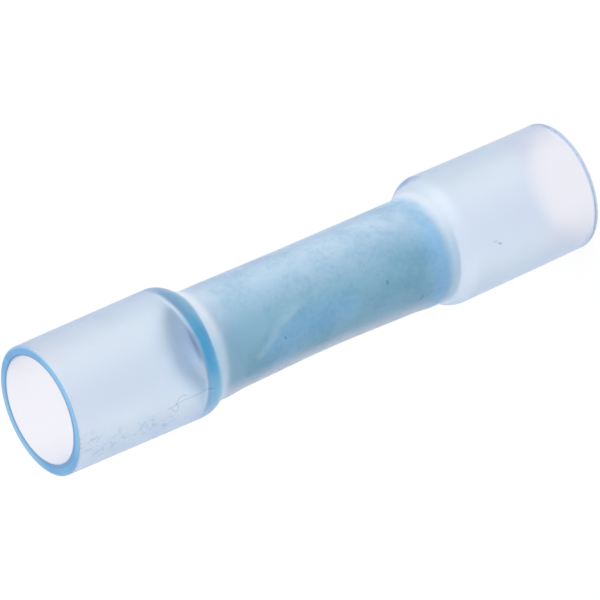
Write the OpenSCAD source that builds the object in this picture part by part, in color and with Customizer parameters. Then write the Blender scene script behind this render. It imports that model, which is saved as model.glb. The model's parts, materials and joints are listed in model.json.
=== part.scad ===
// Heat-shrink butt splice connector for 1.5 to 2.5 mm2 stranded wire.
// A clear blue sleeve is shrunk at its middle onto a tinned copper crimp barrel and
// keeps two expanded ends, which are shrunk onto the wires after crimping.
// The connector stands on one mouth: Z runs along its axis, with the lower mouth at Z = 0.
// Sizes are in millimetres.

/* [Sleeve] */
// Length of the sleeve from mouth to mouth
sleeve_length = 36; // [32:0.5:44]
// Inside diameter of the expanded ends
sleeve_bore_d = 6.4; // [6:0.05:8]
// Wall of the sleeve at its two mouths
mouth_wall = 0.57; // [0.4:0.01:0.9]
// Wall of the expanded ends next to the shoulders
shoulder_wall = 0.65; // [0.45:0.01:0.9]
// Wall of the shrunk neck at its two ends
neck_wall = 0.96; // [0.7:0.01:1.1]
// How far the neck is drawn in at its middle
waist_depth = 0.08; // [0.02:0.01:0.2]
// Rounding of the cut edges at the mouths
rim_round = 0.08; // [0.03:0.01:0.15]

/* [Shoulders] */
// Distance inside the barrel's end where the outside of the sleeve starts to open
neck_setback = 0.4; // [0.2:0.05:1]
// Outside bend radius at the foot of the shoulder
foot_bend_r = 1.9; // [1.2:0.1:3]
// Outside bend radius at the crest of the shoulder
crest_bend_r = 1.4; // [0.9:0.1:2.5]
// Distance inside the barrel's end where the bore of the sleeve starts to open
grip_setback = 0.15; // [0.05:0.05:0.5]
// Inside bend radius at the foot of the shoulder
inner_foot_r = 2; // [1.2:0.1:3]
// Inside bend radius at the crest of the shoulder
inner_crest_r = 0.9; // [0.5:0.1:1.5]

/* [Barrel] */
// Length of the crimp barrel
barrel_length = 15; // [12:0.5:18]
// Outside diameter of the crimp barrel
barrel_d = 4.4; // [4:0.05:4.8]
// Diameter of the wire bore
wire_bore_d = 2.4; // [2:0.05:2.8]
// Lead-in chamfer at each end of the wire bore
lead_in = 0.35; // [0.1:0.05:0.6]
// Rounding of the barrel's outer edges
barrel_round = 0.2; // [0.05:0.05:0.3]

/* [Wire stop] */
// Length of the band in which staking draws the bore in
stop_band = 3; // [2.8:0.1:5]
// How far the bore is drawn in at the middle of that band
stop_swell = 0.2; // [0.05:0.05:0.4]
// How far each staked bump reaches in from the wire bore
stop_reach = 0.45; // [0.25:0.05:0.7]
// Radius of the punch that stakes the stop
punch_r = 1.3; // [0.8:0.1:2]
// Depth of the dents that the punch leaves outside
dent_depth = 0.4; // [0.1:0.05:0.6]
// Direction of the dents about the axis, in degrees
dent_angle = 65; // [0:5:175]

/* [Fit] */
// Gap between the shrunk neck and the barrel, on the radius
shrink_gap = 0.02; // [0.01:0.01:0.1]

/* [Hidden] */
$fn = 128;

// Segments of each bend and of half the waist in a profile
bend_steps = 12;
// Segments of each rounded edge in a profile
edge_steps = 5;

sleeve_half = sleeve_length / 2;
barrel_half = barrel_length / 2;
barrel_r = barrel_d / 2;
wire_bore_r = wire_bore_d / 2;

// Radii of the sleeve, from the barrel outwards
neck_bore_r = barrel_r + shrink_gap;
neck_r = neck_bore_r + neck_wall;
sleeve_bore_r = sleeve_bore_d / 2;
mouth_r = sleeve_bore_r + mouth_wall;
shoulder_r = sleeve_bore_r + shoulder_wall;

// Distances from the middle at which the outside and the bore of the neck end
neck_half = barrel_half - neck_setback;
grip_half = barrel_half - grip_setback;

// The staking punch stops with its centre at this radius
punch_centre_r = barrel_r + punch_r - dent_depth;
bump_r = punch_centre_r - (wire_bore_r - stop_reach);

// Points of an arc about a centre, between two angles
function arc(centre, r, from, to, steps) =
    [for (i = [0:steps])
        let (a = from + (to - from) * i / steps)
        centre + r * [cos(a), sin(a)]];

// Length along the axis of two tangent bends that open a tube by a step in radius
function flare_length(step, foot_r, crest_r) =
    sqrt(2 * step * (foot_r + crest_r) - step * step);

// An S of two tangent bends that opens a tube from radius r0 at z0 out to radius r1.
// The first bends about a centre outside the tube, the second about one inside it.
function flare(r0, r1, z0, foot_r, crest_r) =
    let (step = r1 - r0,
         length = flare_length(step, foot_r, crest_r),
         lean = asin(length / (foot_r + crest_r)))
    concat(
        arc([r0 + foot_r, z0], foot_r, 180, 180 - lean, bend_steps),
        arc([r1 - crest_r, z0 + length], crest_r, -lean, 0, bend_steps));

// The outside of the neck from its middle to one end, drawn in smoothly at the middle
function waist() =
    [for (i = [0:bend_steps - 1])
        let (z = neck_half * i / bend_steps)
        [neck_r - waist_depth * (1 + cos(180 * z / neck_half)) / 2, z]];

function reversed(points) = [for (i = [len(points) - 1:-1:0]) points[i]];
function below(points) = [for (p = points) [p[0], -p[1]]];

// A profile that is alike above and below the middle, from the points of its upper half
function both_halves(upper) = concat(upper, reversed(below(upper)));

// The sleeve's wall above the middle: up the outside, over the mouth and down the bore
function sleeve_wall() = concat(
    waist(),
    flare(neck_r, shoulder_r, neck_half, foot_bend_r, crest_bend_r),
    arc([mouth_r - rim_round, sleeve_half - rim_round], rim_round, 0, 90, edge_steps),
    arc([sleeve_bore_r + rim_round, sleeve_half - rim_round], rim_round, 90, 180, edge_steps),
    reversed(flare(neck_bore_r, sleeve_bore_r, grip_half, inner_foot_r, inner_crest_r)));

// The bore's swell at the stop, from the end of its band to its crest
function swell() =
    let (half_band = stop_band / 2,
         r = (half_band * half_band + stop_swell * stop_swell) / (2 * stop_swell),
         spread = asin(half_band / r))
    arc([wire_bore_r - stop_swell + r, 0], r, 180 - spread, 180, bend_steps);

// The barrel's wall above the middle: up the outside, over the end and down the bore
function barrel_wall() = concat(
    [[barrel_r, 0]],
    arc([barrel_r - barrel_round, barrel_half - barrel_round], barrel_round, 0, 90, edge_steps),
    [[wire_bore_r + lead_in, barrel_half], [wire_bore_r, barrel_half - lead_in]],
    swell());

// A ball of the staking punch, or of the metal it pushes in, on both sides of the barrel
module staked_pair(r) {
    for (side = [0, 180])
        rotate(dent_angle + side)
            translate([punch_centre_r, 0, 0])
                sphere(r);
}

// The sleeve, one tube that is shrunk at its middle
module heat_shrink_sleeve() {
    color([0.62, 0.80, 0.93, 0.6])
        translate([0, 0, sleeve_half])
            rotate_extrude()
                polygon(both_halves(sleeve_wall()));
}

// The seamless barrel that is crimped onto the two wires, staked at its middle as a stop
module crimp_barrel() {
    color([0.78, 0.78, 0.80])
        translate([0, 0, sleeve_half])
            difference() {
                union() {
                    rotate_extrude()
                        polygon(both_halves(barrel_wall()));
                    intersection() {
                        staked_pair(bump_r);
                        cylinder(r = (barrel_r + wire_bore_r) / 2, h = stop_band, center = true);
                    }
                }
                staked_pair(punch_r);
            }
}

heat_shrink_sleeve();
crimp_barrel();
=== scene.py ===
import json
import math

import bpy
from mathutils import Matrix, Vector


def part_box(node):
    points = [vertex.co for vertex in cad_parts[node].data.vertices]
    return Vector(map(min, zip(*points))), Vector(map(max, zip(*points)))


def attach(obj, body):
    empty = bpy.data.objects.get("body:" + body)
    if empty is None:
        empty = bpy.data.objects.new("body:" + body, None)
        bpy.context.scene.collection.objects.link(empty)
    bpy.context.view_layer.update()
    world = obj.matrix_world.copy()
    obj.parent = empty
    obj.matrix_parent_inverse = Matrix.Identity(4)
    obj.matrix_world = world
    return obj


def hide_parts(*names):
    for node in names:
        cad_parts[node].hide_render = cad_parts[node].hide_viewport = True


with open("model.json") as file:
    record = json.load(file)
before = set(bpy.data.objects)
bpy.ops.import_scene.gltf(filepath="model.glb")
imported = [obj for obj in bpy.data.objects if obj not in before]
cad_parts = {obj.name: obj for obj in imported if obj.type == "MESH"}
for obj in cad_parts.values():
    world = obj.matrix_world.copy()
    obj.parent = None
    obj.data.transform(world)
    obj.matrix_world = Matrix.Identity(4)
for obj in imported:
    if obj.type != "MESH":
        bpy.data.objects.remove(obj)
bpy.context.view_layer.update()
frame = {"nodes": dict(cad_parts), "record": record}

MM = 0.001

# Sizes taken from the frame, in millimetres
sleeve_low, sleeve_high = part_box("heat_shrink_sleeve")
barrel_low, barrel_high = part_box("crimp_barrel")
mount_dims = {m["name"]: m["dims"] for m in frame["record"]["mounts"]}
LENGTH = (sleeve_high.z - sleeve_low.z) / MM
MIDDLE = (sleeve_high.z + sleeve_low.z) / 2 / MM
SHOULDER_R = sleeve_high.x / MM
BORE_R = mount_dims["sleeve_mouth_top"]["r_mm"]
WIRE_BORE_R = mount_dims["wire_entry_top"]["r_mm"]
BARREL_R = barrel_high.x / MM
BARREL_HALF = (barrel_high.z - barrel_low.z) / 2 / MM

# Sizes of the sleeve's wall, in millimetres
MOUTH_WALL = 0.57
NECK_WALL = 0.96
RIM_ROUND = 0.08
WAIST_DEPTH = 0.08
NECK_SETBACK = 0.4
FOOT_BEND_R = 1.9
CREST_BEND_R = 1.4
GRIP_SETBACK = 0.15
INNER_FOOT_R = 2.0
INNER_CREST_R = 0.9
MOUTH_R = BORE_R + MOUTH_WALL
NECK_R = BARREL_R + NECK_WALL
NECK_HALF = BARREL_HALF - NECK_SETBACK
# The lining wets the barrel, so the neck's bore lies just inside the barrel's skin
WETTING = 0.03

# The cloudy lining between the sleeve's clear wall and the barrel
LINING_R = 2.9
LINING_HALF = 8.1
LINING_FOOT_HALF = 8.4
LINING_ROUND = 0.1
# How deep its inner side lies in the wall past the barrel's ends
LINING_COVER = 0.02
# How much higher its end is at the outer edge, how much lower at the back, and thinner on one side
LINING_LIP = 0.3
LINING_SAG = 0.5
LINING_PINCH = 0.1

# Unevenness of the shrunk tube, in millimetres
# The neck lies off the tubes' axis, and the shoulders lead back to it
NECK_SHIFT = 0.13
SHOULDER_RUN = 2.0
# The neck is drawn in less on one side, and the feet of the shoulders are filled out on the other
WAIST_LEAN = 0.05
FOOT_FILL = 0.1
FOOT_SPREAD = 0.7
# The mouths are oval, turned by an angle in radians
MOUTH_OVAL = 0.03
OVAL_TURN = 0.6
# The lower mouth is off the axis, and the upper one is drawn in and has one thicker side
LOWER_MOUTH_SHIFT = 0.09
UPPER_MOUTH_DRAW = 0.04
THICK_SIDE = 0.13
# Where the shoulders are, how far they spread, and how far each is out of place and leans
SHOULDER_HALF = 8.0
SHOULDER_SPREAD = 1.2
UPPER_LEAN = 0.1
LOWER_SHIFT = 0.2
LOWER_LEAN = 0.1
# How far the cut of the upper mouth is off square, and short
MOUTH_SKEW = 0.2
MOUTH_TRIM = 0.05

# Steps of the profiles along the neck, the tubes and the cut ends, in millimetres
NECK_STEP = 0.3
TUBE_STEP = 0.4
END_STEP = 0.1
# Segments of each bend, of each rounded edge, and around the axis
BEND_STEPS = 14
EDGE_STEPS = 4
SEGMENTS = 192

# The camera that took the photo, in its own 600 pixel frame
PHOTO_PX = 600
FOCAL_PX = 4869.1
SENSOR_MM = 36
ELEVATION = math.radians(28.935)
ROLL = math.radians(23.438)
# Place of the object's middle in front of the camera: right, up and away, in millimetres
CENTRE_RIGHT = 0.3191
CENTRE_UP = 0.2115
CENTRE_AWAY = 270.776

# Small marks of wear and handling, as lines through places in the photo
HAIR_PX = (
    ((168, 410), (177, 405), (185, 400), (197, 395), (208, 389), (215, 388)),
    ((172, 409), (175, 412), (178, 411), (179, 407), (176, 403)),
    ((177, 404), (180, 398), (184, 395), (187, 396)),
)
SCUFF_PX = ((86, 450), (126, 439), (166, 424))
TICKS_PX = (
    ((420, 298), (422, 295)),
    ((387, 281), (388, 283)),
    ((285, 337), (286, 338)),
    ((492, 241), (494, 241)),
)
CREASE_PX = ((259, 355), (272, 337), (279, 322), (299, 306))
PATCH_PX = ((278, 348), (305, 325), (345, 308))
CLOUDS_PX = (((344, 294), (353, 290)), ((404, 283), (418, 276)), ((396, 263), (421, 254)))
# Distances from its line at which each kind of mark starts to fade and is gone, in millimetres
HAIR_EDGE = (0.012, 0.035)
SCUFF_EDGE = (0.2, 1.2)
TICK_EDGE = (0.03, 0.08)
CREASE_EDGE = (0.0, 0.35)
PATCH_EDGE = (0.4, 1.5)
CLOUD_EDGE = (0.0, 0.8)

# Kinds of the sleeve's faces
OUTER, CUT, BORE = "outer", "cut", "bore"


# Camera

back = Vector((0, -math.cos(ELEVATION), math.sin(ELEVATION)))
right = Vector((
    -math.sin(ROLL),
    -math.cos(ROLL) * math.sin(ELEVATION),
    -math.cos(ROLL) * math.cos(ELEVATION),
))
up = back.cross(right)
eye = (
    Vector((0, 0, MIDDLE)) - CENTRE_RIGHT * right - CENTRE_UP * up + CENTRE_AWAY * back
) * MM


def on_skin(pixel, radius):
    """A pixel's place on a tube about the axis: the way round from the front, and the height."""
    across = (pixel[0] - PHOTO_PX / 2) / FOCAL_PX
    rise = (PHOTO_PX / 2 - pixel[1]) / FOCAL_PX
    ray = across * right + rise * up - back
    start = eye / MM
    flat_ray = ray.xy
    flat_start = start.xy
    a = flat_ray.dot(flat_ray)
    b = flat_ray.dot(flat_start)
    c = flat_start.dot(flat_start) - radius ** 2
    hit = start + ray * ((-b - math.sqrt(b * b - a * c)) / a)
    return Vector((math.atan2(hit.x, -hit.y) * radius, hit.z, 0))


def make_camera():
    data = bpy.data.cameras.new("photo_camera")
    data.sensor_width = SENSOR_MM
    data.lens = SENSOR_MM * FOCAL_PX / PHOTO_PX
    data.clip_start = 0.01
    data.clip_end = 20
    camera = bpy.data.objects.new("photo_camera", data)
    turn = Matrix((right, up, back)).transposed()
    camera.matrix_world = Matrix.Translation(eye) @ turn.to_4x4()
    bpy.context.scene.collection.objects.link(camera)
    bpy.context.scene.camera = camera


# Node trees

class Graph:
    """Short calls for building a node tree. A value may be a number, a colour or a socket."""

    def __init__(self, tree):
        self.tree = tree
        tree.nodes.clear()

    def put(self, socket, value):
        if isinstance(value, bpy.types.NodeSocket):
            self.tree.links.new(value, socket)
        else:
            socket.default_value = value

    def add(self, kind, inputs=None, **settings):
        node = self.tree.nodes.new(kind)
        for name, value in settings.items():
            setattr(node, name, value)
        for name, value in (inputs or {}).items():
            self.put(node.inputs[name], value)
        return node

    def math(self, operation, a, b=0.0, clamp=False):
        node = self.add("ShaderNodeMath", {0: a, 1: b}, operation=operation, use_clamp=clamp)
        return node.outputs[0]

    def both(self, a, b):
        return self.math("MULTIPLY", a, b)

    def either(self, a, b):
        return self.math("MAXIMUM", a, b)

    def vector(self, operation, a, b):
        node = self.add("ShaderNodeVectorMath", {0: a, 1: b}, operation=operation)
        return node.outputs[0]

    def measure(self, operation, a, b=(0, 0, 0)):
        """A number that is worked out from vectors, such as a dot product."""
        node = self.add("ShaderNodeVectorMath", {0: a, 1: b}, operation=operation)
        return node.outputs["Value"]

    def axes(self, place):
        return self.add("ShaderNodeSeparateXYZ", {0: place}).outputs

    def noise(self, place, scale, detail=3.0, rough=0.5):
        inputs = {"Vector": place, "Scale": scale, "Detail": detail, "Roughness": rough}
        return self.add("ShaderNodeTexNoise", inputs).outputs["Fac"]

    def span(self, value, low, high, to_low=0.0, to_high=1.0):
        """The value's place between two limits, as a smooth step."""
        inputs = {0: value, 1: low, 2: high, 3: to_low, 4: to_high}
        node = self.add("ShaderNodeMapRange", inputs, interpolation_type="SMOOTHSTEP")
        return node.outputs[0]

    def mix(self, share, a, b):
        node = self.add("ShaderNodeMix", data_type="RGBA")
        self.put(node.inputs[0], share)
        self.put(node.inputs[6], a)
        self.put(node.inputs[7], b)
        return node.outputs[2]

    def place_mm(self):
        """The point on the surface, in millimetres."""
        coords = self.add("ShaderNodeTexCoord").outputs["Object"]
        return self.vector("MULTIPLY", coords, (1 / MM, 1 / MM, 1 / MM))

    def radius(self, place):
        """The place's distance from the axis."""
        return self.measure("LENGTH", self.vector("MULTIPLY", place, (1, 1, 0)))

    def on_skin(self, place, radius):
        """The place on a tube about the axis, in the same terms as on_skin gives."""
        axes = self.axes(place)
        turn = self.math("ARCTAN2", axes["X"], self.math("MULTIPLY", axes["Y"], -1.0))
        inputs = {"X": self.math("MULTIPLY", turn, radius), "Y": axes["Z"]}
        return self.add("ShaderNodeCombineXYZ", inputs).outputs[0]

    def off_line(self, skin, pixels, radius):
        """Distance on a tube's skin from a line through places in the photo, in millimetres."""
        points = [on_skin(p, radius) for p in pixels]
        nearest = None
        for a, b in zip(points, points[1:]):
            step = b - a
            offset = self.vector("SUBTRACT", skin, a)
            along = self.measure("DOT_PRODUCT", offset, step)
            share = self.math("DIVIDE", along, step.length_squared, clamp=True)
            foot = self.add("ShaderNodeVectorMath", {0: step, "Scale": share}, operation="SCALE")
            gap = self.measure("DISTANCE", offset, foot.outputs[0])
            nearest = gap if nearest is None else self.math("MINIMUM", nearest, gap)
        return nearest

    def mark(self, skin, pixels, radius, edge, strength):
        """A line through places in the photo that is strong on it and fades away to its edge."""
        return self.span(self.off_line(skin, pixels, radius), *edge, strength, 0.0)

    def bump(self, height, strength, depth):
        """Normals of a fine relief, with its depth in millimetres."""
        inputs = {"Height": height, "Strength": strength, "Distance": depth * MM}
        return self.add("ShaderNodeBump", inputs).outputs[0]

    def output(self, surface, volume=None):
        out = self.add("ShaderNodeOutputMaterial")
        self.put(out.inputs["Surface"], surface.outputs[0])
        if volume is not None:
            self.put(out.inputs["Volume"], volume.outputs[0])


def new_material(name):
    material = bpy.data.materials.new(name)
    material.use_nodes = True
    return material, Graph(material.node_tree)


# Materials

# The range that most of a noise lies in, and a tighter one
NOISE_WIDE = (0.3, 0.7)
NOISE_TIGHT = (0.35, 0.65)

# What the sleeve's plastic takes out of light, for each millimetre: red, green and blue
ABSORPTION = (0.15, 0.075, 0.004)
SLEEVE_ROUGHNESS = 0.285
SLEEVE_IOR = 1.4
SLEEVE_CLARITY = 1.0
TUBE_TINT = (0.885, 0.905, 0.945, 1)
FAR_TINT = (0.91, 0.925, 0.965, 1)
# Painted highlight: the untinted plastic on the sides and at the upper shoulder's foot
PAINTED_HIGHLIGHT_TINT = (1.0, 1.0, 1.0, 1)
# Painted light: paler where the open mouth shows through, as through one wall
PAINTED_MOUTH_LIGHT = (0.995, 0.94, 0.975, 1)
NECK_TINT = (0.90, 0.97, 1.0, 1)
NECK_SPOT = (0.62, 0.78, 0.86, 1)
CUT_TINT = (0.42, 0.70, 0.95, 1)
HAIR_GREY = (0.30, 0.38, 0.50, 1)
SCUFF_BLUE = (0.42, 0.60, 0.86, 1)
SCUFF_PALE = (0.86, 0.95, 1.0, 1)
# Heights above the middle between which its tints change, in millimetres
FAR_FADE = (4.0, -8.0)
# Where the painted highlight band at the upper shoulder's foot starts and ends
COLLAR_HIGHLIGHT_START = (7.0, 7.5)
COLLAR_HIGHLIGHT_END = (8.2, 7.95)
NECK_START = (-BARREL_HALF - 0.6, -BARREL_HALF + 0.4)
NECK_END = (BARREL_HALF - 1.2, BARREL_HALF - 0.6)
LOWER_CUT = (RIM_ROUND - LENGTH / 2, RIM_ROUND / 2 - LENGTH / 2)
PALE_END = 13.8
PALE_FADE = 1.5
# Places along X between which the sides start, where the sleeve is left untinted as a painted highlight
HIGH_SIDE_HIGHLIGHT = (-0.5, 3.3)
LOW_SIDE_HIGHLIGHT = (-0.8, -3.3)
# Levels of their noise at which the neck's spots and the scuffs' flecks show
SPOT_LEVEL = (0.4, 0.7)
PALE_FLECK = (0.52, 0.4)
BLUE_FLECK = (0.48, 0.6)

CUT_BLUE = (0.105, 0.29, 0.53, 1)
CUT_DEEP = (0.085, 0.25, 0.48, 1)
# Painted light: lighter at the cut's sides and a highlight along its outer edge
CUT_PAINTED_LIGHT = (0.24, 0.46, 0.67, 1)
CUT_INNER = (0.075, 0.20, 0.40, 1)
# Distances from the X axis, and from the axis of the tube, between which the cut's tones change
CUT_SIDES = (1.5, 3.6)
CUT_OUTER_EDGE = (MOUTH_R - 0.2, MOUTH_R)
CUT_INNER_EDGE = (BORE_R + 0.16, BORE_R + 0.04)
# The saw's marks, finer along Y
SAW_STRETCH = (1.0, 12.0, 1.0)

# Painted shade and highlight: darkest towards -X, lightest towards +X
LINING_SHADE_LOW = (0.355, 0.585, 0.70, 1)
LINING_SHADE_MID = (0.45, 0.625, 0.745, 1)
LINING_HIGHLIGHT = (0.63, 0.73, 0.83, 1)
# Painted shade along the lining's +X edge at the front
LINING_RIM_SHADE = (0.45, 0.57, 0.73, 1)
# Painted reflection: a pale fringe along the lining's -X edge at the front
LINING_FRINGE_REFLECTION = (0.70, 0.74, 0.84, 1)
LINING_PATCH = (0.36, 0.63, 0.84, 1)
LINING_DARK = (0.27, 0.50, 0.62, 1)
LINING_BLUE = (0.10, 0.74, 1.0, 1)
LINING_BLUE_SIDE = (0.50, 0.92, 1.0, 1)
LINING_FOOT = (0.40, 0.67, 0.89, 1)
LINING_FOOT_HIGH = (0.55, 0.72, 0.87, 1)
LINING_PALE = (0.98, 0.99, 1.0, 1)
LINING_PALE_LOW = (0.80, 0.94, 1.0, 1)
# Places along X between which the lining's tones change, in millimetres
# Where the painted shade gives way to the painted highlight
SHADE_MID_FADE = (-0.8, 1.0)
HIGHLIGHT_FADE = (0.4, 2.1)
RIM_SHADE_FADE = (2.25, 2.85)
FRINGE_REFLECTION_FADE = (-2.45, -2.9)
FOOT_HIGH_FADE = (0.0, 2.0)
PALE_LOW_FADE = (-0.8, 0.6)
BLUE_HIGH_SIDE = (0.6, 2.2)
BLUE_LOW_SIDE = (-1.3, -2.4)
# Places along Y between which the front starts
FRONT_FADE = (1.2, 0.1)
BLUE_FRONT = (1.2, -0.2)
# Heights above the middle
FOOT_FADE = (2.0 - LINING_HALF, 0.8 - LINING_HALF)
UPPER_EDGE = (LINING_HALF - 0.9, LINING_HALF - 0.2)
LOWER_EDGE = (0.6 - LINING_HALF, -0.2 - LINING_HALF)
# How far up a face looks where it counts as the end face
FACING_UP = (0.55, 0.75)
# Levels of the mottling at which it darkens, and at which the crease is whole
MOTTLE_DARK = (0.52, 0.72)
CREASE_WHOLE = (0.3, 0.5)

TIN = (0.78, 0.90, 1.0, 1)
TIN_DARK = (0.64, 0.78, 0.92, 1)
# Painted highlight on the low side of the barrel's upper end
TIN_HIGHLIGHT = (0.97, 0.98, 1.0, 1)
# Painted shade: darker on the end face towards the bore, and in the bore
TIN_FACE_SHADE = (0.56, 0.70, 0.86, 1)
TIN_BORE_SHADE = (0.72, 0.83, 0.95, 1)
TIN_METALLIC = 0.2
TIN_ROUGHNESS = (0.42, 0.55)
# Heights, places along X and radii between which the tin's tones change, in millimetres
BARREL_TOP = MIDDLE + BARREL_HALF
TIN_END = (BARREL_TOP - 0.6, BARREL_TOP - 0.2)
TIN_LOW_SIDE = (-0.6, -1.8)
TIN_FACE = (BARREL_R - 0.2, BARREL_R - 0.7)
TIN_BORE = (WIRE_BORE_R + 0.3, WIRE_BORE_R + 0.05)


def sleeve_tone(g, place):
    """The plastic's tint along the tube and around it, with painted highlights on the sides and at the
    upper shoulder's foot, and painted light near each end where the open mouth shows through.
    """
    axes = g.axes(place)
    above = g.math("SUBTRACT", axes["Z"], MIDDLE)
    tone = g.mix(g.span(above, *FAR_FADE), TUBE_TINT, FAR_TINT)
    # Painted highlight: towards its +X and -X edges the sleeve is left clear and lighter
    highlit_sides = g.either(g.span(axes["X"], *HIGH_SIDE_HIGHLIGHT), g.span(axes["X"], *LOW_SIDE_HIGHLIGHT))
    tone = g.mix(highlit_sides, tone, PAINTED_HIGHLIGHT_TINT)
    # Painted highlight: a clear, lighter band at the upper shoulder's foot
    collar_highlight = g.both(g.span(above, *COLLAR_HIGHLIGHT_START), g.span(above, *COLLAR_HIGHLIGHT_END))
    tone = g.mix(collar_highlight, tone, PAINTED_HIGHLIGHT_TINT)

    # Painted light: near each end, on the wall seen through the open mouth, the plastic is paler
    at_end = g.span(g.math("ABSOLUTE", above), PALE_END, PALE_END + PALE_FADE)
    side = g.math("MULTIPLY", axes["Y"], g.math("SIGN", above))
    tone = g.mix(g.both(at_end, g.span(side, -PALE_FADE, PALE_FADE)), tone, PAINTED_MOUTH_LIGHT)

    in_neck = g.both(g.span(above, *NECK_START), g.span(above, *NECK_END, 1.0, 0.0))
    drift = g.span(g.noise(place, scale=0.5, detail=2.0), *NOISE_WIDE, -0.1, 0.1)
    spots = g.math("ADD", g.noise(place, scale=3.2, detail=8.0, rough=0.75), drift)
    skin = g.on_skin(place, NECK_R)
    for pixels in CLOUDS_PX:
        spots = g.math("ADD", spots, g.mark(skin, pixels, NECK_R, CLOUD_EDGE, 0.12))
    tone = g.mix(in_neck, tone, g.mix(g.span(spots, *SPOT_LEVEL), NECK_TINT, NECK_SPOT))
    return g.mix(g.span(above, *LOWER_CUT), tone, CUT_TINT)


def worn(g, place, tone):
    """A tint with the scuffs, the hair line and the ticks on the sleeve's outside."""
    radius = g.radius(place)
    on_tube = g.math("GREATER_THAN", radius, (BORE_R + SHOULDER_R) / 2)
    skin = g.on_skin(place, SHOULDER_R)
    rough_edge = g.span(g.noise(place, scale=1.1), *NOISE_WIDE, -0.5, 0.5)
    off_scuffs = g.math("ADD", g.off_line(skin, SCUFF_PX, SHOULDER_R), rough_edge)
    scuffed = g.both(g.span(off_scuffs, *SCUFF_EDGE, 1.0, 0.0), on_tube)
    flecks = g.noise(place, scale=2.3, detail=5.0, rough=0.7)
    tone = g.mix(g.both(scuffed, g.span(flecks, *PALE_FLECK)), tone, SCUFF_PALE)
    tone = g.mix(g.both(scuffed, g.span(flecks, *BLUE_FLECK, 0.0, 0.75)), tone, SCUFF_BLUE)
    for pixels in HAIR_PX:
        hair = g.mark(skin, pixels, SHOULDER_R, HAIR_EDGE, 0.75)
        tone = g.mix(g.both(hair, on_tube), tone, HAIR_GREY)

    outside = g.math("GREATER_THAN", radius, BARREL_R + NECK_WALL / 2)
    neck_skin = g.on_skin(place, NECK_R)
    for pixels in TICKS_PX:
        tick = g.mark(neck_skin, pixels, NECK_R, TICK_EDGE, 0.9)
        tone = g.mix(g.both(tick, outside), tone, HAIR_GREY)
    return tone


def sleeve_material():
    """Clear blue plastic, softly frosted."""
    material, g = new_material("clear_blue_sleeve")
    place = g.place_mm()
    grain = g.noise(place, scale=9.0, detail=4.0, rough=0.6)
    frost = g.span(g.noise(place, scale=0.7), *NOISE_WIDE, 0.0, 0.04)
    shader = g.add("ShaderNodeBsdfPrincipled", {
        "Base Color": worn(g, place, sleeve_tone(g, place)),
        "Roughness": g.math("ADD", frost, SLEEVE_ROUGHNESS),
        "IOR": SLEEVE_IOR,
        "Transmission Weight": SLEEVE_CLARITY,
        "Normal": g.bump(grain, 0.05, 0.01),
    })
    densest = max(ABSORPTION)
    colour = [1 - a / densest for a in ABSORPTION]
    volume = g.add("ShaderNodeVolumeAbsorption", {"Color": (*colour, 1), "Density": densest / MM})
    g.output(shader, volume)
    return material


def cut_material():
    """The square-cut upper end, where the dye is seen through the length of the wall, with painted light
    at its sides and a painted highlight along its outer edge.
    """
    material, g = new_material("sleeve_cut")
    place = g.place_mm()
    cloud = g.noise(place, scale=0.8, detail=4.0, rough=0.6)
    tone = g.mix(g.span(cloud, *NOISE_TIGHT), CUT_DEEP, CUT_BLUE)
    from_x = g.math("ABSOLUTE", g.axes(place)["Y"])
    # Painted light at the sides, then a painted highlight along the outer edge
    tone = g.mix(g.span(from_x, *CUT_SIDES, 0.0, 0.5), tone, CUT_PAINTED_LIGHT)
    radius = g.radius(place)
    tone = g.mix(g.span(radius, *CUT_OUTER_EDGE, 0.0, 0.8), tone, CUT_PAINTED_LIGHT)
    tone = g.mix(g.span(radius, *CUT_INNER_EDGE, 0.0, 0.7), tone, CUT_INNER)
    saw = g.noise(g.vector("MULTIPLY", place, SAW_STRETCH), scale=2.0)
    g.output(g.add("ShaderNodeBsdfPrincipled", {
        "Base Color": tone,
        "Roughness": 0.35,
        "Normal": g.bump(saw, 0.15, 0.01),
    }))
    return material


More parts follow.
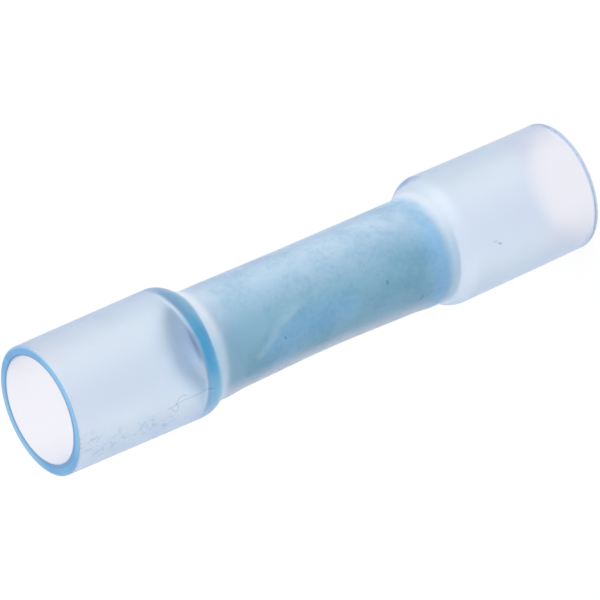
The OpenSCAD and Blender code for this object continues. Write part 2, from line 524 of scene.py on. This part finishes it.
def lining_material():
    """Cloudy plastic with the barrel's grey in it, pale at both ends and deep blue on the upper end,
    with painted shade towards -X, a painted highlight towards +X, painted shade along its +X edge at the
    front and a painted reflection along its -X edge at the front.
    """
    material, g = new_material("cloudy_lining")
    place = g.place_mm()
    axes = g.axes(place)
    above = g.math("SUBTRACT", axes["Z"], MIDDLE)
    cloud = g.noise(place, scale=0.5, detail=5.0, rough=0.6)
    aside = g.math("ADD", axes["X"], g.span(cloud, *NOISE_WIDE, -0.4, 0.4))
    # Painted shade towards -X, and a painted highlight towards +X
    tone = g.mix(g.span(aside, *SHADE_MID_FADE), LINING_SHADE_LOW, LINING_SHADE_MID)
    tone = g.mix(g.span(aside, *HIGHLIGHT_FADE), tone, LINING_HIGHLIGHT)
    in_front = g.span(axes["Y"], *FRONT_FADE)
    # Painted shade: a darker lavender stripe along the +X edge at the front
    tone = g.mix(g.both(g.span(axes["X"], *RIM_SHADE_FADE), in_front), tone, LINING_RIM_SHADE)

    skin = g.on_skin(place, LINING_R)
    tone = g.mix(g.mark(skin, PATCH_PX, LINING_R, PATCH_EDGE, 0.8), tone, LINING_PATCH)
    mottle = g.noise(place, scale=1.3, detail=6.0, rough=0.7)
    tone = g.mix(g.span(mottle, *MOTTLE_DARK, 0.0, 0.6), tone, LINING_DARK)
    crease = g.mark(skin, CREASE_PX, LINING_R, CREASE_EDGE, 0.2)
    tone = g.mix(g.both(crease, g.span(mottle, *CREASE_WHOLE, 0.4, 1.0)), tone, LINING_PALE)
    # Painted reflection: a pale stripe along the -X edge at the front
    tone = g.mix(g.both(g.span(axes["X"], *FRINGE_REFLECTION_FADE), in_front), tone, LINING_FRINGE_REFLECTION)

    foot_tone = g.mix(g.span(axes["X"], *FOOT_HIGH_FADE), LINING_FOOT, LINING_FOOT_HIGH)
    tone = g.mix(g.span(above, *FOOT_FADE), tone, foot_tone)
    pale = g.mix(g.span(axes["X"], *PALE_LOW_FADE), LINING_PALE_LOW, LINING_PALE)
    at_ends = g.either(g.span(above, *UPPER_EDGE), g.span(above, *LOWER_EDGE))
    tone = g.mix(at_ends, tone, pale)

    facing = g.axes(g.add("ShaderNodeNewGeometry").outputs["Normal"])
    end_face = g.both(g.span(facing["Z"], *FACING_UP), g.span(axes["Y"], *BLUE_FRONT))
    to_sides = g.either(g.span(axes["X"], *BLUE_HIGH_SIDE), g.span(axes["X"], *BLUE_LOW_SIDE))
    end_tone = g.mix(to_sides, LINING_BLUE, LINING_BLUE_SIDE)
    fine = g.noise(place, scale=5.0, detail=4.0, rough=0.6)
    g.output(g.add("ShaderNodeBsdfPrincipled", {
        "Base Color": g.mix(end_face, tone, end_tone),
        "Roughness": 0.5,
        "Normal": g.bump(fine, 0.2, 0.02),
    }))
    return material


def barrel_material():
    """Matt tin plating, with a painted highlight on the low side of the upper end, and painted shade on
    the end face towards the bore and in the bore.
    """
    material, g = new_material("tinned_copper")
    place = g.place_mm()
    axes = g.axes(place)
    radius = g.radius(place)
    cloud = g.noise(place, scale=0.9, detail=5.0, rough=0.6)
    fine = g.noise(place, scale=6.0, detail=4.0, rough=0.6)
    tone = g.mix(g.span(cloud, *NOISE_TIGHT), TIN, TIN_DARK)
    at_end = g.span(axes["Z"], *TIN_END)
    # Painted shade on the end face, darker towards the bore
    tone = g.mix(g.both(at_end, g.span(radius, *TIN_FACE)), tone, TIN_FACE_SHADE)
    # Painted highlight on the low side of the upper end
    tone = g.mix(g.both(at_end, g.span(axes["X"], *TIN_LOW_SIDE)), tone, TIN_HIGHLIGHT)
    # Painted shade in the bore
    tone = g.mix(g.span(radius, *TIN_BORE), tone, TIN_BORE_SHADE)
    g.output(g.add("ShaderNodeBsdfPrincipled", {
        "Base Color": tone,
        "Metallic": TIN_METALLIC,
        "Roughness": g.span(fine, *NOISE_WIDE, *TIN_ROUGHNESS),
        "Normal": g.bump(fine, 0.3, 0.02),
    }))
    return material


# Shapes

def clamped(value):
    return min(max(value, 0), 1)


def arc(centre, r, start, end, steps):
    points = []
    for i in range(steps + 1):
        a = start + (end - start) * i / steps
        points.append((centre[0] + r * math.cos(a), centre[1] + r * math.sin(a)))
    return points


def run(a, b, step):
    """Points from a up to, but not at, b."""
    count = max(1, round(math.dist(a, b) / step))
    return [(a[0] + (b[0] - a[0]) * i / count, a[1] + (b[1] - a[1]) * i / count) for i in range(count)]


def flare(r0, r1, z0, foot_r, crest_r):
    """An S of two tangent bends that opens a tube from radius r0 at z0 out to radius r1."""
    step = r1 - r0
    length = math.sqrt(2 * step * (foot_r + crest_r) - step * step)
    lean = math.asin(length / (foot_r + crest_r))
    foot = arc((r0 + foot_r, z0), foot_r, math.pi, math.pi - lean, BEND_STEPS)
    crest = arc((r1 - crest_r, z0 + length), crest_r, -lean, 0, BEND_STEPS)
    return foot + crest[1:]


def sleeve_half():
    """The wall above the middle, with the kind of face that starts at each point."""
    top = LENGTH / 2
    neck_bore = BARREL_R - WETTING
    outside = flare(NECK_R, SHOULDER_R, NECK_HALF, FOOT_BEND_R, CREST_BEND_R)
    inside = flare(neck_bore, BORE_R, BARREL_HALF - GRIP_SETBACK, INNER_FOOT_R, INNER_CREST_R)
    quarter = math.pi / 2
    rim_out = arc((MOUTH_R - RIM_ROUND, top - RIM_ROUND), RIM_ROUND, 0, quarter, EDGE_STEPS)
    rim_in = arc((BORE_R + RIM_ROUND, top - RIM_ROUND), RIM_ROUND, quarter, 2 * quarter, EDGE_STEPS)
    up_side = run((NECK_R, 0), outside[0], NECK_STEP) + outside[:-1]
    up_side += run(outside[-1], rim_out[0], TUBE_STEP) + rim_out[:2]
    over = rim_out[2:-1] + run(rim_out[-1], rim_in[0], END_STEP) + rim_in[:2]
    down_bore = rim_in[2:-1] + run(rim_in[-1], inside[-1], TUBE_STEP) + inside[:0:-1]
    down_bore += run(inside[0], (neck_bore, 0), NECK_STEP)
    return (
        [(r, z, OUTER) for r, z in up_side]
        + [(r, z, CUT) for r, z in over]
        + [(r, z, BORE) for r, z in down_bore]
    )


def lining_half(half):
    """The lining on one side of the middle, in the sleeve's wall and a little past the barrel's end."""
    neck_bore = BARREL_R - WETTING / 2
    inside = flare(BARREL_R, BORE_R, BARREL_HALF - GRIP_SETBACK, INNER_FOOT_R, INNER_CREST_R)
    under = [(r + LINING_COVER, z) for r, z in inside if z < half]
    inner_end = (under[-1][0], half)
    edge_centre = (LINING_R - LINING_ROUND, half + LINING_LIP - LINING_ROUND)
    edge = arc(edge_centre, LINING_ROUND, 0, math.pi / 2, EDGE_STEPS)
    points = run((LINING_R, 0), edge[0], NECK_STEP) + edge[:-1]
    points += run(edge[-1], inner_end, END_STEP) + [inner_end]
    points += under[::-1]
    points += run((neck_bore, under[0][1] - END_STEP), (neck_bore, 0), NECK_STEP)
    return [(r, z, BORE) for r, z in points]


def uneven(r, z, kind, angle):
    """A radius of the sleeve with the unevenness of a shrunk tube; z is from the middle."""
    end = abs(z) / (LENGTH / 2)
    if kind == OUTER and abs(z) < NECK_HALF:
        waist = (1 + math.cos(math.pi * z / NECK_HALF)) / 2
        r -= (WAIST_DEPTH - WAIST_LEAN * math.cos(angle)) * waist
    if kind == OUTER:
        foot = math.exp(-((abs(z) - NECK_HALF) / FOOT_SPREAD) ** 2)
        r += FOOT_FILL * foot * (1 - math.cos(angle)) / 2
        past = clamped((abs(z) - NECK_HALF) / SHOULDER_RUN)
        r -= NECK_SHIFT * (1 - past * past * (3 - 2 * past)) * math.cos(angle)
    if z < 0:
        r += LOWER_MOUTH_SHIFT * end ** 4 * math.cos(angle)
    else:
        inward = clamped((MOUTH_R - r) / MOUTH_WALL)
        r -= UPPER_MOUTH_DRAW * end ** 4
        r -= THICK_SIDE * end ** 8 * inward * (1 - math.cos(angle)) / 2
    return r + MOUTH_OVAL * end ** 4 * math.cos(2 * angle + OVAL_TURN)


def sleeve_shape(r, z, kind, angle):
    """A point of the sleeve, its upper end cut short, most at the front, and its shoulders off level."""
    short = MOUTH_TRIM + MOUTH_SKEW * (1 - math.sin(angle)) / 2
    height = z - short * max(z / (LENGTH / 2), 0) ** 8
    at_shoulder = math.exp(-((abs(z) - SHOULDER_HALF) / SHOULDER_SPREAD) ** 2)
    shift, lean = (0, UPPER_LEAN) if z > 0 else (-LOWER_SHIFT, -LOWER_LEAN)
    height += at_shoulder * (shift + lean * math.cos(angle))
    return uneven(r, z, kind, angle), height


def lining_shape(r, z, _, angle):
    """A point of the lining, its upper end sagging at the back and thinner on one side."""
    at_end = clamped(z / BARREL_HALF) ** 8
    inward = clamped((LINING_R - r) / (LINING_R - BARREL_R))
    thinner = LINING_PINCH * inward * max(math.cos(angle), 0)
    sag = LINING_SAG * (1 + math.sin(angle)) / 2
    return r + thinner * at_end, z - sag * at_end


def lathe(name, points, shape):
    """A closed tube turned from a ring of profile points, in even quads."""
    vertices = []
    for i in range(SEGMENTS):
        angle = 2 * math.pi * i / SEGMENTS
        for r, z, kind in points:
            out, height = shape(r, z, kind, angle)
            vertices.append((
                out * math.cos(angle) * MM,
                out * math.sin(angle) * MM,
                (height + MIDDLE) * MM,
            ))
    count = len(points)
    faces = []
    for i in range(SEGMENTS):
        here = i * count
        there = (i + 1) % SEGMENTS * count
        for j in range(count):
            k = (j + 1) % count
            faces.append((here + j, there + j, there + k, here + k))
    mesh = bpy.data.meshes.new(name)
    mesh.from_pydata(vertices, [], faces)
    mesh.shade_smooth()
    piece = bpy.data.objects.new(name, mesh)
    bpy.context.scene.collection.objects.link(piece)
    return piece


def both_ends(upper, under):
    """A closed profile from its halves above and below the middle, both drawn upwards."""
    bore_r = upper[-1][0]
    below = under[:0:-1]
    lower = [(bore_r, 0, BORE)]
    for (r, z, _), (_, _, kind) in zip(below, below[1:] + [(0, 0, OUTER)]):
        lower.append((r, -z, kind))
    return upper + lower


def make_sleeve():
    points = both_ends(sleeve_half(), sleeve_half())
    sleeve = lathe("sleeve", points, sleeve_shape)
    sleeve.data.materials.append(sleeve_material())
    sleeve.data.materials.append(cut_material())
    for face in sleeve.data.polygons:
        _, z, kind = points[face.index % len(points)]
        face.material_index = 1 if kind == CUT and z > 0 else 0
    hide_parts("heat_shrink_sleeve")
    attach(sleeve, "root")


def make_lining():
    profile = both_ends(lining_half(LINING_HALF), lining_half(LINING_FOOT_HALF))
    lining = lathe("lining", profile, lining_shape)
    lining.data.materials.append(lining_material())
    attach(lining, "root")


def dress_barrel():
    materials = frame["nodes"]["crimp_barrel"].data.materials
    materials.clear()
    materials.append(barrel_material())


# Stage

FLOOR_HALF = 3.0
FLOOR_Z = -0.02 * MM
FLOOR_GLOW = 0.9
PAPER = (0.1, 0.1, 0.1, 1)
WHITE = (1, 1, 1, 1)
# Direction of the soft light and its levels, away from it and towards it
LIGHT = Vector((0.75, -0.45, 0.6)).normalized()
DIM, BRIGHT = 0.75, 1.9
COOL = (0.88, 0.97, 1.0, 1)
WARM = (1.0, 0.95, 0.9, 1)
# The lamp's distance and size are in metres
LAMP_DISTANCE = 0.6
LAMP_SIZE = 0.6
LAMP_WATTS = 1.5


def seen_plainly(g):
    """1 for rays that show the background: straight from the camera, mirrored or through the sleeve."""
    rays = g.add("ShaderNodeLightPath").outputs
    return g.either(rays["Is Camera Ray"], g.either(rays["Is Glossy Ray"], rays["Is Transmission Ray"]))


def make_floor():
    mesh = bpy.data.meshes.new("floor")
    corners = [(-1, -1), (1, -1), (1, 1), (-1, 1)]
    mesh.from_pydata([(x * FLOOR_HALF, y * FLOOR_HALF, FLOOR_Z) for x, y in corners], [], [(0, 1, 2, 3)])
    floor = bpy.data.objects.new("floor", mesh)
    bpy.context.scene.collection.objects.link(floor)
    material, g = new_material("floor")
    paper = g.add("ShaderNodeBsdfDiffuse", {"Color": PAPER})
    glow = g.add("ShaderNodeEmission", {"Strength": g.math("MULTIPLY", seen_plainly(g), FLOOR_GLOW)})
    g.output(g.add("ShaderNodeAddShader", {0: paper.outputs[0], 1: glow.outputs[0]}))
    mesh.materials.append(material)


def make_world():
    world = bpy.data.worlds.new("studio")
    world.use_nodes = True
    bpy.context.scene.world = world
    g = Graph(world.node_tree)
    coords = g.add("ShaderNodeTexCoord").outputs["Generated"]
    facing = g.measure("DOT_PRODUCT", coords, LIGHT)
    soft = g.span(facing, 0.0, 1.0, DIM, BRIGHT)
    colour = g.mix(g.span(facing, 0.0, 0.6), COOL, WARM)
    plain = seen_plainly(g)
    sky = g.add("ShaderNodeBackground", {
        "Color": g.mix(plain, colour, WHITE),
        "Strength": g.either(soft, plain),
    })
    out = g.add("ShaderNodeOutputWorld")
    g.put(out.inputs["Surface"], sky.outputs[0])


def make_lamp():
    data = bpy.data.lights.new("key", "AREA")
    data.shape = "DISK"
    data.size = LAMP_SIZE
    data.energy = LAMP_WATTS
    data.color = WARM[:3]
    lamp = bpy.data.objects.new("key", data)
    lamp.location = Vector((0, 0, MIDDLE * MM)) + LIGHT * LAMP_DISTANCE
    lamp.rotation_mode = "QUATERNION"
    lamp.rotation_quaternion = LIGHT.to_track_quat("Z", "Y")
    bpy.context.scene.collection.objects.link(lamp)


make_camera()
make_floor()
make_world()
make_lamp()
make_sleeve()
make_lining()
dress_barrel()

cycles = bpy.context.scene.cycles
cycles.max_bounces = 32
cycles.glossy_bounces = 24
cycles.transmission_bounces = 24
bpy.context.scene.view_settings.view_transform = "Standard"
